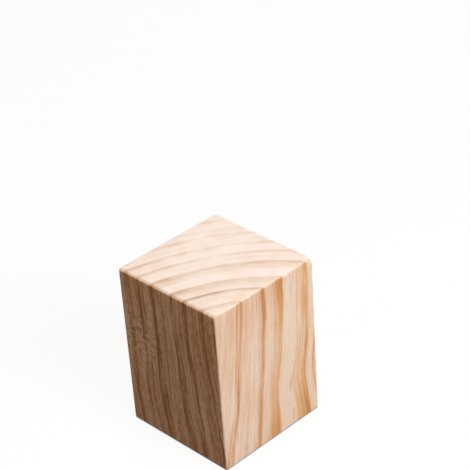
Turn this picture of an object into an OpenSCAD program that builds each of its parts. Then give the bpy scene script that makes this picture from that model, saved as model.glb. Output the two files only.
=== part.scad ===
// A plain pine block, square in section and taller than it is wide.
// It is one piece, cut from planed stock: the grain runs up its height, its long edges
// are barely eased, and its sawn ends are sanded over a little more.
// It stands on one end. The origin is the centre of that end, with +Z up along the grain.

/* [Block] */
// Width across the grain, along X
block_width = 50; // [20:1:120]
// Depth across the grain, along Y
block_depth = 50; // [20:1:120]
// Height along the grain, along Z
block_height = 68; // [20:1:200]

/* [Eased edges] */
// Radius along the four long edges, left by planing with the grain
long_edge_radius = 0.5; // [0.2:0.1:5]
// Radius round the edges of both ends, sanded over after the saw cut
end_edge_radius = 0.8; // [0.2:0.1:5]

/* [Hidden] */
$fn = 96;

// A rectangle with round corners, centred on the origin
module eased_rectangle(x, y, radius) {
    square([x - 2 * radius, y], center = true);
    square([x, y - 2 * radius], center = true);
    for (side_x = [-1, 1], side_y = [-1, 1])
        translate([side_x * (x / 2 - radius), side_y * (y / 2 - radius)])
            circle(radius);
}

// The block is what three eased bars have in common, one along each axis, so each edge
// takes the radius of the bar that runs along it and the three radii meet at the corners
module block() {
    color("burlywood")
        translate([0, 0, block_height / 2])
            intersection() {
                linear_extrude(block_height, center = true)
                    eased_rectangle(block_width, block_depth, long_edge_radius);
                rotate([90, 0, 0])
                    linear_extrude(block_depth, center = true)
                        eased_rectangle(block_width, block_height, end_edge_radius);
                rotate([90, 0, 90])
                    linear_extrude(block_width, center = true)
                        eased_rectangle(block_depth, block_height, end_edge_radius);
            }
}

block();
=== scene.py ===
from math import atan, pi, radians

import bpy
from mathutils import Matrix, Vector


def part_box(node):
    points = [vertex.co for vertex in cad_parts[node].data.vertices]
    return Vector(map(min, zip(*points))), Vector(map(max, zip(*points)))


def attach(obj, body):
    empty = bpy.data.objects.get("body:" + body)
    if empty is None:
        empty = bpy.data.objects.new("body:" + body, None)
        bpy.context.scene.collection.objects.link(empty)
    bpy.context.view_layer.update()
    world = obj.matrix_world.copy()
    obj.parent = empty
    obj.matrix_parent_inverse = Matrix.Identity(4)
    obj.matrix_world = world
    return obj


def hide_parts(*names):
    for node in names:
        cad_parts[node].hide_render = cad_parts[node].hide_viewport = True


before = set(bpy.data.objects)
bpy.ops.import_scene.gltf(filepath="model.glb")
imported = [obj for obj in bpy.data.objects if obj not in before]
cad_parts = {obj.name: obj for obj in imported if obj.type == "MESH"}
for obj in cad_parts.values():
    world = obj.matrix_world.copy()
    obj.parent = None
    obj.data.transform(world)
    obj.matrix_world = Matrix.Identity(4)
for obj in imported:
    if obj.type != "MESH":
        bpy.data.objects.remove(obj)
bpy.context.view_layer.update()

# The block
# One solid piece of pine, sawn to length from planed square stock and left bare.
# Its long edges are barely eased, and its ends are sanded over by hand, a little unevenly.

MM = 0.001
lowest, highest = (Vector(corner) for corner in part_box("block"))
block_size = highest - lowest
block_centre = (highest + lowest) / 2
cells_across = 36

bpy.ops.object.select_all(action="DESELECT")
bpy.ops.mesh.primitive_cube_add(size=1, location=block_centre, scale=block_size)
block = bpy.context.object
block.name = "pine_block"
bpy.ops.object.transform_apply(location=True, rotation=True, scale=True)
bpy.ops.object.mode_set(mode="EDIT")
bpy.ops.mesh.subdivide(number_cuts=cells_across - 1)
bpy.ops.object.mode_set(mode="OBJECT")


def depth_below_faces(point):
    """How far a point lies below the nearer block face across X, across Y and across Z."""
    return [block_size[axis] / 2 - abs(point[axis] - block_centre[axis]) for axis in range(3)]


def side_of_block(point):
    """The side of the block's centre that a point lies on, as 1 or -1 in X, Y and Z."""
    return [1 if point[axis] > block_centre[axis] else -1 for axis in range(3)]


# The long edges have one radius and those of the lower end another. On the upper end the radius
# differs by the side that an edge adjoins, which is named by its direction in X and Y.
touching = 0.01 * MM
long_edge_radius = 0.5 * MM
lower_edge_radius = 0.3 * MM
upper_edge_radius = {(1, 0): 0.25 * MM, (-1, 0): 0.6 * MM, (0, 1): 0.6 * MM, (0, -1): 0.8 * MM}
largest_radius = max(upper_edge_radius.values())
radius_share = block.data.attributes.new("bevel_weight_edge", "FLOAT", "EDGE")
for edge in block.data.edges:
    first, second = (depth_below_faces(block.data.vertices[end].co) for end in edge.vertices)
    on_face = [max(first[axis], second[axis]) < touching for axis in range(3)]
    side_x, side_y, side_z = side_of_block(block.data.vertices[edge.vertices[0]].co)
    if sum(on_face) == 2:
        radius = long_edge_radius
        if on_face[2]:
            adjoins = (side_x * on_face[0], side_y * on_face[1])
            radius = upper_edge_radius[adjoins] if side_z > 0 else lower_edge_radius
        radius_share.data[edge.index].value = radius / largest_radius


def apply_modifier(kind, **settings):
    """Adds a modifier to the active object with these settings, and applies it."""
    modifier = bpy.context.object.modifiers.new(kind.lower(), kind)
    for name, value in settings.items():
        setattr(modifier, name, value)
    bpy.ops.object.modifier_apply(modifier=modifier.name)


# A profile of 0.25 would be a flat chamfer and one of 0.5 a round, so the easing lies between them
easing_segments = 5
easing_profile = 0.36
apply_modifier("BEVEL", width=largest_radius, limit_method="WEIGHT", segments=easing_segments,
               profile=easing_profile)
apply_modifier("SUBSURF", subdivision_type="SIMPLE", levels=1, render_levels=1)

# Hand sanding takes a little more off an end's edges in some places than in others, less off the
# lower end, and most off one upper corner. A corner is named by its side in X, Y and Z. Wear is a
# share of the full sanding depth, and fades to nothing at its reach from the edge or corner.
sanded_reach = {"sanded edges": 1.6 * MM, "sanded corners": 3.0 * MM}
upper_wear, lower_wear = 0.7, 0.2
corner_wear = {(1, 1, 1): 1.0, (-1, -1, 1): 0.15, (1, -1, 1): 0.2}
usual_corner_wear = 0.05
for place in sanded_reach:
    block.vertex_groups.new(name=place)
for vertex in block.data.vertices:
    across_x, across_y, across_z = depth_below_faces(vertex.co)
    corner = tuple(side_of_block(vertex.co))
    edge_wear = upper_wear if corner[2] > 0 else lower_wear
    for place, depth, wear in (
        ("sanded edges", max(across_z, min(across_x, across_y)), edge_wear),
        ("sanded corners", max(across_x, across_y, across_z), corner_wear.get(corner, usual_corner_wear)),
    ):
        share_left = 1 - depth / sanded_reach[place]
        if share_left > 0:
            block.vertex_groups[place].add([vertex.index], wear * share_left ** 2, "REPLACE")

# The uneven sanding is a broad wave and a finer one, each with its length and its depth
sanding_waves = ((7.0 * MM, 0.22 * MM), (1.8 * MM, 0.10 * MM))
corner_sanding_depth = 1.1 * MM
smoothed_below = radians(40)
for wave_length, wave_depth in sanding_waves:
    unevenness = bpy.data.textures.new("uneven sanding", "CLOUDS")
    unevenness.noise_scale = wave_length
    apply_modifier("DISPLACE", texture=unevenness, texture_coords="LOCAL", strength=-wave_depth,
                   mid_level=0.0, vertex_group="sanded edges")
apply_modifier("DISPLACE", strength=-corner_sanding_depth, mid_level=0.0, vertex_group="sanded corners")
bpy.ops.object.shade_smooth_by_angle(angle=smoothed_below)

# Bare planed pine. The colour follows the growth rings right through the wood, so the arcs on the ends
# meet the stripes on the sides: pale soft wood that darkens slowly outwards to a thin hard orange line,
# then starts pale again. Radii are millimetres from the pith, which ran outside this block.
pine = bpy.data.materials.new("planed pine")
pine.use_nodes = True
pine.node_tree.nodes.clear()


def add_node(material, kind, inputs, stops=(), **settings):
    """Adds a node with its settings and colour stops, and gives each named input a value or a link."""
    node = material.node_tree.nodes.new(kind)
    for name, value in settings.items():
        setattr(node, name, value)
    for socket, value in inputs.items():
        if isinstance(value, bpy.types.NodeSocket):
            material.node_tree.links.new(value, node.inputs[socket])
        else:
            node.inputs[socket].default_value = value
    if stops:
        ramp_stops = node.color_ramp.elements
        while len(ramp_stops) < len(stops):
            ramp_stops.new(0.5)
        for ramp_stop, (level, stop_colour) in zip(ramp_stops, stops):
            ramp_stop.position = level
            ramp_stop.color = stop_colour
    return node


def colour(hex_code):
    """Turns an sRGB hex colour into the linear colour that a shader socket takes."""
    levels = [int(hex_code[start:start + 2], 16) / 255 for start in (1, 3, 5)]
    linear = [level / 12.92 if level <= 0.04045 else ((level + 0.055) / 1.055) ** 2.4
              for level in levels]
    return linear + [1.0]


# The pith leans a little, so each ring drifts towards the near edge on its way down the sides
pith_at_top = Vector((71.6 * MM, -45.6 * MM, highest.z))
pith_lean_x, pith_lean_y = 0.017, -0.093
position = add_node(pine, "ShaderNodeTexCoord", {}).outputs["Object"]
from_pith = add_node(
    pine, "ShaderNodeMapping",
    {"Vector": position, "Location": pith_at_top, "Rotation": (atan(pith_lean_y), atan(-pith_lean_x), 0),
     "Scale": (MM, MM, MM)},
    vector_type="TEXTURE").outputs[0]

# Soft variation in the wood, by its size in millimetres in three directions. Real fibres are a few
# hundredths of a millimetre across, so these are drawn coarser, to show.
variation = {}
middle_of_noise = 0.5


def add_variation(name, coordinates, size, detail):
    """Adds a named soft variation about zero, stretched to a size along each coordinate."""
    stretched = add_node(pine, "ShaderNodeVectorMath",
                         {0: coordinates, 1: [1 / length for length in size]},
                         operation="MULTIPLY").outputs[0]
    noise = add_node(pine, "ShaderNodeTexNoise", {"Vector": stretched, "Scale": 1.0, "Detail": detail})
    variation[name] = add_node(pine, "ShaderNodeMath", {0: noise.outputs["Fac"], 1: middle_of_noise},
                               operation="SUBTRACT").outputs[0]


add_variation("waver", from_pith, (9, 9, 30), detail=1)
add_variation("patch", from_pith, (7, 7, 45), detail=1)
add_variation("fibre", from_pith, (0.4, 0.4, 6), detail=2)
add_variation("speckle", from_pith, (0.6, 0.6, 2.4), detail=2)
add_variation("scuff", from_pith, (2.6, 2.6, 1.0), detail=2)


def add_shares(base, shares):
    """Adds a share of each named variation to an output."""
    for name, share in shares.items():
        base = add_node(pine, "ShaderNodeMath", {0: variation[name], 1: share, 2: base},
                        operation="MULTIPLY_ADD").outputs[0]
    return base


# The faces that have marks of their own, each by its axis and where it lies on it: the side with the
# broadest stripes, the side that was left rough, and the upper end
striped_side = (0, highest.x)
rough_side = (1, lowest.y)
upper_end = (2, highest.z)


def add_patches(base, face, patches):
    """Adds soft patches to an output. A patch has a place on the face and a reach, in millimetres, and
    a strength, which is full at its place and fades to nothing all round at its reach."""
    axis, face_level = face
    for place, reach, strength in patches:
        centre = [length * MM for length in place]
        centre.insert(axis, face_level)
        distance = add_node(pine, "ShaderNodeVectorMath", {0: position, 1: centre},
                            operation="DISTANCE").outputs["Value"]
        patch = add_node(pine, "ShaderNodeMapRange",
                         {"Value": distance, "From Max": reach * MM, "To Min": strength, "To Max": 0.0},
                         interpolation_type="SMOOTHSTEP").outputs[0]
        base = add_node(pine, "ShaderNodeMath", {0: base, 1: patch}, operation="ADD").outputs[0]
    return base


# Rings swerve here and there, as round knots outside the block, and most at the foot of the striped
# side. The strength of a swerve is its pull towards the pith, in millimetres.
outside_rough_side = (1, lowest.y - 9 * MM)
across_grain = add_node(pine, "ShaderNodeVectorMath", {0: from_pith, 1: (1, 1, 0)},
                        operation="MULTIPLY").outputs[0]
ring_radius = add_node(pine, "ShaderNodeVectorMath", {0: across_grain},
                       operation="LENGTH").outputs["Value"]
ring_radius = add_shares(ring_radius, {"waver": 0.4, "fibre": 0.25})
ring_radius = add_patches(ring_radius, striped_side, (
    ((29, -5), 34, -5.2), ((26, 38), 26, -1.2), ((5, 22), 15, 0.8), ((2, 70), 16, 1.3),
    ((23, 72), 14, 1.2),
))
ring_radius = add_patches(ring_radius, rough_side, (((22, 0), 28, 1.4), ((-15, 20), 30, -1.8)))
ring_radius = add_patches(ring_radius, outside_rough_side, (((14, 52), 26, -1.6),))

# Streaks and finer strands of harder and softer wood run along the fibres and follow the rings round
typical_radius = 80
along_fibres = add_node(pine, "ShaderNodeSeparateXYZ", {0: from_pith}).outputs
angle = add_node(pine, "ShaderNodeMath", {0: along_fibres["Y"], 1: along_fibres["X"]},
                 operation="ARCTAN2").outputs[0]
round_ring = add_node(pine, "ShaderNodeMath", {0: angle, 1: typical_radius},
                      operation="MULTIPLY").outputs[0]
along_ring = add_node(pine, "ShaderNodeCombineXYZ",
                      {0: ring_radius, 1: round_ring, 2: along_fibres["Z"]}).outputs[0]
add_variation("streak", along_ring, (1.1, 14, 38), detail=2)
add_variation("strand", along_ring, (0.5, 8, 22), detail=1)

# Each ring: the radius of its hard line, how far before it the wood starts to darken, how dark it gets,
# and how dark the soft wood after it is. Thin false rings are added on top of the annual ones.
annual_rings = (
    (57.4, 0.7, 0.70, 0.20), (65.6, 2.2, 0.88, 0.13), (72.1, 4.6, 0.56, 0.04), (82.2, 4.6, 0.60, 0.10),
    (89.2, 2.4, 0.64, 0.10), (95.4, 2.6, 0.64, 0.10), (103.0, 2.8, 0.60, 0.08), (107.6, 2.2, 0.52, 0.10),
    (114.0, 3.2, 0.62, 0.08),
)
false_rings = (
    (56.3, 0.4, 0.45, 0.0), (78.1, 1.0, 0.24, 0.10), (82.0, 0.3, 0.04, 0.0), (85.8, 0.8, 0.18, 0.0),
    (98.6, 0.8, 0.20, 0.0),
)
line_falloff = 0.65
innermost, outermost = 48.0, 126.0
innermost_darkness = 0.19
ring_place = add_node(pine, "ShaderNodeMapRange",
                      {"Value": ring_radius, "From Min": innermost, "From Max": outermost}).outputs[0]


def add_rings(rings, first_darkness):
    """Adds a ramp that darkens slowly out to each ring's hard line and falls off quickly after it."""
    outwards = [(innermost, first_darkness)]
    for hard_line, darkening, darkness, darkness_after in rings:
        outwards += [(hard_line - darkening, outwards[-1][1]), (hard_line, darkness),
                     (hard_line + line_falloff, darkness_after)]
    stops = [((radius - innermost) / (outermost - innermost), (darkness, darkness, darkness, 1))
             for radius, darkness in outwards]
    ramp = add_node(pine, "ShaderNodeValToRGB", {"Fac": ring_place}, stops=stops)
    ramp.color_ramp.interpolation = "EASE"
    return ramp.outputs["Color"]


ring_tone = add_node(pine, "ShaderNodeMath",
                     {0: add_rings(annual_rings, innermost_darkness), 1: add_rings(false_rings, 0.0)},
                     operation="ADD").outputs[0]

# The hard wood runs in strands, and is stronger in some stretches of a ring and weaker in others
strength = add_shares(1.0, {"patch": 0.5, "streak": 0.9, "strand": 2.0})
strength = add_patches(strength, striped_side, (
    ((-13, 62), 18, 0.7), ((0, 64), 14, 0.3), ((9, 70), 17, 1.0), ((21, 64), 13, -0.4),
    ((-3, 34), 17, -0.35), ((10, 42), 13, -0.3), ((20, 36), 26, -0.3),
    ((-18, 4), 16, -0.3), ((-7, 10), 13, -0.4), ((6, 1), 18, 0.7),
    ((26, 34), 9, 1.4), ((26, 24), 9, 1.4), ((26, 14), 9, 1.2),
))
strength = add_patches(strength, rough_side, (
    ((-21, 24), 24, -0.4), ((-20, 4), 18, -0.4), ((-6, 18), 13, 0.5), ((13, 20), 22, -0.45),
))
hardness = add_node(pine, "ShaderNodeMath", {0: ring_tone, 1: strength}, operation="MULTIPLY").outputs[0]
hardness = add_shares(hardness, {"patch": 0.20, "streak": 0.18, "strand": 0.10})

# The fibres show more in the hard wood than in the soft
fibre_in_soft_wood = 0.25
fibre_added_by_hardness = 0.7
fibre_share = add_node(pine, "ShaderNodeMath",
                       {0: hardness, 1: fibre_added_by_hardness, 2: fibre_in_soft_wood},
                       operation="MULTIPLY_ADD").outputs[0]
side_hardness = add_node(pine, "ShaderNodeMath", {0: variation["fibre"], 1: fibre_share, 2: hardness},
                         operation="MULTIPLY_ADD").outputs[0]
side_hardness = add_shares(side_hardness, {"speckle": 0.35})

# On the ends the arcs are more even. On the upper one they fade in the middle and towards the corner
# away from the striped and rough sides.
end_strength = add_shares(1.0, {"patch": 0.8, "streak": 0.6, "strand": 0.6})
end_strength = add_patches(end_strength, upper_end, (((-10, 10), 34, -0.65), ((5, -22), 12, 0.5)))
end_hardness = add_node(pine, "ShaderNodeMath", {0: ring_tone, 1: end_strength},
                        operation="MULTIPLY").outputs[0]
end_hardness = add_shares(end_hardness, {"patch": 0.35, "streak": 0.35, "strand": 0.15, "fibre": 0.35})

# The sides darken a little in a thin band on the eased edges of both ends.
# Depths are measured in from the ends.
rim_from_depth, rim_full_depth = 0.6 * MM, 0.2 * MM
rim_darkening = 0.08
half_height = block_size.z / 2
position_along = add_node(pine, "ShaderNodeSeparateXYZ", {0: position}).outputs
from_middle = add_node(pine, "ShaderNodeMath", {0: position_along["Z"], 1: block_centre.z},
                       operation="SUBTRACT").outputs[0]
from_middle = add_node(pine, "ShaderNodeMath", {0: from_middle}, operation="ABSOLUTE").outputs[0]
darker_rim = add_node(pine, "ShaderNodeMapRange",
                          {"Value": from_middle, "From Min": half_height - rim_from_depth,
                           "From Max": half_height - rim_full_depth,
                           "To Max": rim_darkening}).outputs[0]
side_hardness = add_node(pine, "ShaderNodeMath", {0: side_hardness, 1: darker_rim},
                         operation="ADD").outputs[0]

# One side was left rougher: its fibres show as streaks and specks, and most in the hard wood. Its colours
# are darker and browner than the other sides', partly for the coarse grain and partly as painted shade.
# It is scuffed in one place, and a little paler there.
coarse_in_soft_wood = 0.34
coarse_added_by_hardness = 1.45
coarse_contrast = 2.0
scuffed_place = add_patches(0.0, rough_side, (((-18, 40), 20, 2.2),))
scuffs = add_node(pine, "ShaderNodeMath", {0: variation["scuff"], 1: scuffed_place},
                  operation="MULTIPLY").outputs[0]
coarseness = add_node(pine, "ShaderNodeMath", {0: hardness, 1: coarse_contrast},
                      operation="POWER").outputs[0]
coarseness = add_node(pine, "ShaderNodeMath",
                      {0: coarseness, 1: coarse_added_by_hardness, 2: coarse_in_soft_wood},
                      operation="MULTIPLY_ADD").outputs[0]
coarseness = add_node(pine, "ShaderNodeMath", {0: coarseness, 1: scuffs}, operation="ADD").outputs[0]
coarseness = add_patches(coarseness, rough_side, (((-19, 40), 17, -0.14),))
coarseness = add_shares(coarseness, {"streak": 1.2, "strand": 0.9, "fibre": 0.7, "speckle": 1.0})

# Colours from the softest wood to the hardest, on the planed sides, the sawn ends and the rough side
tones = {}
for name, measure, steps in (
    ("side", side_hardness, ((0.0, "#ECD6C2"), (0.25, "#E5C1A6"), (0.62, "#D8A57F"), (1.0, "#C48D5B"))),
    ("resinous side", side_hardness,
     ((0.0, "#ECD6C2"), (0.25, "#E7BF9A"), (0.55, "#DDA97A"), (0.82, "#D49A64"), (1.0, "#BE8957"))),
    ("end", end_hardness, ((0.0, "#ECDED5"), (0.25, "#E3CFBF"), (0.6, "#D6BDA8"), (1.0, "#BE9F89"))),
    # The ramp for the rough face is darker and browner than the others, partly as painted shade on it
    ("rough side with painted shade", coarseness, ((0.0, "#F3CEAE"), (0.5, "#CFA077"), (1.0, "#956231"))),
):
    stops = [(level, colour(hex_code)) for level, hex_code in steps]
    tones[name] = add_node(pine, "ShaderNodeValToRGB", {"Fac": measure}, stops=stops).outputs["Color"]

# Resin has turned the rings farther from the pith more orange. A Mix node takes its share at input 0
# and its two colours at inputs 6 and 7.
resin_begins, resin_full = 67, 73
resin = add_node(pine, "ShaderNodeMapRange",
                 {"Value": ring_radius, "From Min": resin_begins, "From Max": resin_full}).outputs[0]
side_tone = add_node(pine, "ShaderNodeMix", {0: resin, 6: tones["side"], 7: tones["resinous side"]},
                     data_type="RGBA").outputs[2]

# Resin canals: thin brown dashes along the fibres, drawn a little wider than real ones so that they
# show. Their core and rim are shares of the spacing, and only the stronger half of them shows.
canal_spacing, canal_length = 1.25, 26
canal_core, canal_rim = 0.08, 0.18
canal_brown = "#A0601E"
weakest_canal_shown = 0.5
canal_cells = add_node(pine, "ShaderNodeVectorMath",
                       {0: from_pith, 1: (1 / canal_spacing, 1 / canal_spacing, 1 / canal_length)},
                       operation="MULTIPLY").outputs[0]
canals = add_node(pine, "ShaderNodeTexVoronoi", {"Vector": canal_cells, "Scale": 1.0})
canal_strength = add_node(pine, "ShaderNodeSeparateXYZ", {0: canals.outputs["Color"]}).outputs["X"]
canal_strength = add_node(pine, "ShaderNodeMapRange",
                          {"Value": canal_strength, "From Min": weakest_canal_shown}).outputs[0]
canal = add_node(pine, "ShaderNodeMapRange",
                 {"Value": canals.outputs["Distance"], "From Min": canal_core, "From Max": canal_rim,
                  "To Min": canal_strength, "To Max": 0.0},
                 interpolation_type="SMOOTHSTEP").outputs[0]
side_tone = add_node(pine, "ShaderNodeMix", {0: canal, 6: side_tone, 7: colour(canal_brown)},
                     data_type="RGBA").outputs[2]

# The rough face's look, its painted shade with it, stops at its eased edges. Depths are measured in from
# its face.
rough_full_depth, rough_end_depth = 0.02 * MM, 0.15 * MM
on_rough_shaded_side = add_node(pine, "ShaderNodeMapRange",
                         {"Value": position_along["Y"], "From Min": lowest.y + rough_full_depth,
                          "From Max": lowest.y + rough_end_depth,
                          "To Min": 1.0, "To Max": 0.0}).outputs[0]
side_tone = add_node(pine, "ShaderNodeMix", {0: on_rough_shaded_side, 6: side_tone, 7: tones["rough side with painted shade"]},
                     data_type="RGBA").outputs[2]

# The ends, where the saw cut across the fibres, are paler, and their look carries over the eased edges
end_from_depth, end_full_depth = 0.60 * MM, 0.02 * MM
on_end = add_node(pine, "ShaderNodeMapRange",
                  {"Value": from_middle, "From Min": half_height - end_from_depth,
                   "From Max": half_height - end_full_depth}).outputs[0]
tone = add_node(pine, "ShaderNodeMix", {0: on_end, 6: side_tone, 7: tones["end"]},
                data_type="RGBA").outputs[2]

# The hard wood is smoother and stands a little proud of the soft, and the fibres leave a fine nap,
# which is coarser on the rough side. Bare wood has little gloss, so its specular level is low.
relief_height = 0.03 * MM
extra_nap_on_rough_side = 1.5
soft_wood_roughness, hard_wood_roughness = 0.70, 0.50
bare_wood_specular = 0.15
relief = add_shares(hardness, {"fibre": 1.3, "speckle": 0.6})
nap = add_node(pine, "ShaderNodeMath", {0: on_rough_shaded_side, 1: extra_nap_on_rough_side, 2: 1.0},
               operation="MULTIPLY_ADD").outputs[0]
relief = add_node(pine, "ShaderNodeMath", {0: relief, 1: nap}, operation="MULTIPLY").outputs[0]
bump = add_node(pine, "ShaderNodeBump",
                {"Height": relief, "Strength": 1.0, "Distance": relief_height}).outputs[0]
roughness = add_node(pine, "ShaderNodeMapRange",
                     {"Value": hardness, "To Min": soft_wood_roughness,
                      "To Max": hard_wood_roughness}).outputs[0]
surface = add_node(pine, "ShaderNodeBsdfPrincipled",
                   {"Base Color": tone, "Roughness": roughness, "Normal": bump,
                    "Specular IOR Level": bare_wood_specular})
add_node(pine, "ShaderNodeOutputMaterial", {"Surface": surface.outputs[0]})
block.data.materials.append(pine)

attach(block, "root")
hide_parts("block")

# The floor
# A plain pale studio sheet that the block stands on, a hair below its lower end. It looks white and
# keeps a faint shadow, with a dark line where the block meets it. It sends back little light, so that
# the shaded side of the block stays dark.
floor_size = 4.0
floor_drop = 0.05 * MM
bpy.ops.object.select_all(action="DESELECT")
bpy.ops.mesh.primitive_plane_add(size=floor_size, location=(0, 0, -floor_drop))
floor = bpy.context.object
floor.name = "studio_floor"
bpy.ops.object.transform_apply(location=True, rotation=True, scale=True)

pure_white = "#FFFFFF"
sheet_grey = "#555555"
sheet_glow = 0.90
contact_line_reach = 0.35 * MM
sheet = bpy.data.materials.new("pale studio sheet")
sheet.use_nodes = True
sheet.node_tree.nodes.clear()
lit_sheet = add_node(sheet, "ShaderNodeBsdfDiffuse", {"Color": colour(sheet_grey)}).outputs[0]
contact_shade = add_node(sheet, "ShaderNodeAmbientOcclusion",
                         {"Color": colour(pure_white), "Distance": contact_line_reach})
seen_sheet = add_node(sheet, "ShaderNodeEmission",
                      {"Color": contact_shade.outputs["Color"], "Strength": sheet_glow}).outputs[0]
seen_sheet = add_node(sheet, "ShaderNodeAddShader", {0: lit_sheet, 1: seen_sheet}).outputs[0]


def seen_directly(material):
    """1 where a surface is seen directly, in a reflection or through glass, and 0 for bounced light."""
    rays = add_node(material, "ShaderNodeLightPath", {}).outputs
    seen = add_node(material, "ShaderNodeMath", {0: rays["Is Camera Ray"], 1: rays["Is Glossy Ray"]},
                    operation="MAXIMUM").outputs[0]
    return add_node(material, "ShaderNodeMath", {0: seen, 1: rays["Is Transmission Ray"]},
                    operation="MAXIMUM").outputs[0]


sheet_look = add_node(sheet, "ShaderNodeMixShader",
                      {0: seen_directly(sheet), 1: lit_sheet, 2: seen_sheet}).outputs[0]
add_node(sheet, "ShaderNodeOutputMaterial", {"Surface": sheet_look})
floor.data.materials.append(sheet)

# The studio light
# Square soft lamps on stands, in a dim warm room. The main one is on the right, weaker ones are
# overhead and behind, and a faint warm one in front lifts the rough side. The backdrop looks white
# but lights the block only as the dim room does.
lamp_distance = 1.2
lamp_size = 0.5
warm_white = "#FFDDBB"
room_brightness = 0.08


def add_lamp(name, direction, light_colour, watts):
    """Adds a square soft lamp that stands off in a direction and faces the block."""
    away = Vector(direction).normalized()
    bpy.ops.object.light_add(type="AREA", location=block_centre + away * lamp_distance)
    lamp = bpy.context.object
    lamp.name = name
    lamp.rotation_euler = away.to_track_quat("Z", "Y").to_euler()
    lamp.data.size = lamp_size
    lamp.data.energy = watts
    lamp.data.color = colour(light_colour)[:3]


add_lamp("key lamp", (0.80, 0.00, 0.60), pure_white, watts=15.4)
add_lamp("overhead lamp", (0.00, 0.00, 1.00), pure_white, watts=4.8)
add_lamp("back lamp", (-0.62, 0.68, 0.12), pure_white, watts=6.2)
add_lamp("front lamp", (-0.20, -0.80, 0.56), warm_white, watts=2.0)
surround = bpy.data.worlds.new("studio surround")
bpy.context.scene.world = surround
surround.use_nodes = True
surround.node_tree.nodes.clear()
dim_room = add_node(surround, "ShaderNodeBackground",
                    {"Color": colour(warm_white), "Strength": room_brightness}).outputs[0]
white_backdrop = add_node(surround, "ShaderNodeBackground",
                          {"Color": colour(pure_white), "Strength": 1.0}).outputs[0]
surround_look = add_node(surround, "ShaderNodeMixShader",
                         {0: seen_directly(surround), 1: dim_room, 2: white_backdrop}).outputs[0]
add_node(surround, "ShaderNodeOutputWorld", {"Surface": surround_look})

# The camera
# A camera with a short telephoto lens, a little over half a metre from the block and above it.
# It looks down on the near upright edge and is tipped a little clockwise.
image_pixels = 470
focal_pixels = 1600
camera_azimuth = radians(46.72)
camera_elevation = radians(31.29)
camera_roll = radians(4.06)
aim_point = Vector((5.7, 5.6, 79.3)) * MM
camera_distance = 575 * MM
turn = (Matrix.Rotation(camera_azimuth, 4, "Z") @ Matrix.Rotation(pi / 2 - camera_elevation, 4, "X")
        @ Matrix.Rotation(-camera_roll, 4, "Z"))
bpy.ops.object.camera_add()
camera = bpy.context.object
camera.matrix_world = Matrix.Translation(aim_point + turn.col[2].to_3d() * camera_distance) @ turn
camera.data.lens = camera.data.sensor_width * focal_pixels / image_pixels
bpy.context.scene.camera = camera
bpy.context.scene.view_settings.view_transform = "Standard"
